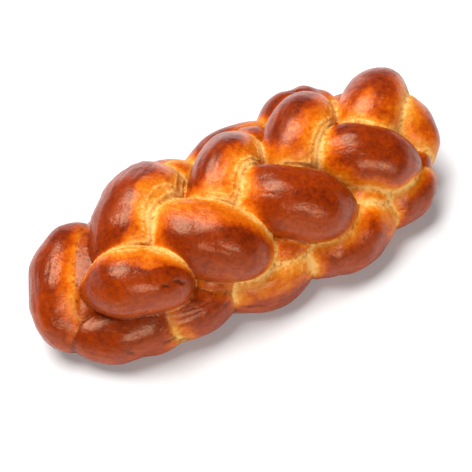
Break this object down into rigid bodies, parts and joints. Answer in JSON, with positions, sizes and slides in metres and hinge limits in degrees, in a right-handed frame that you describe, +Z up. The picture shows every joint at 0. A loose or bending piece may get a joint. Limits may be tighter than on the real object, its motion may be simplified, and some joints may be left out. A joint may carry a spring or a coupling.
{
  "type": "braided loaf",
  "caption": "Glazed braided loaf of enriched bread: plump strands woven lengthwise, rounded ends and a flat underside to rest on.",
  "frame": {"origin": "on the surface the loaf rests on, under the middle of its length and width", "axes": "+X along the loaf, +Y across it, +Z up from the flat underside"},
  "size_m": [0.323, 0.1504, 0.0851],
  "materials": {
    "crust": null
  },
  "bodies": {
    "root": {"braided_loaf": "crust"}
  },
  "joints": []
}
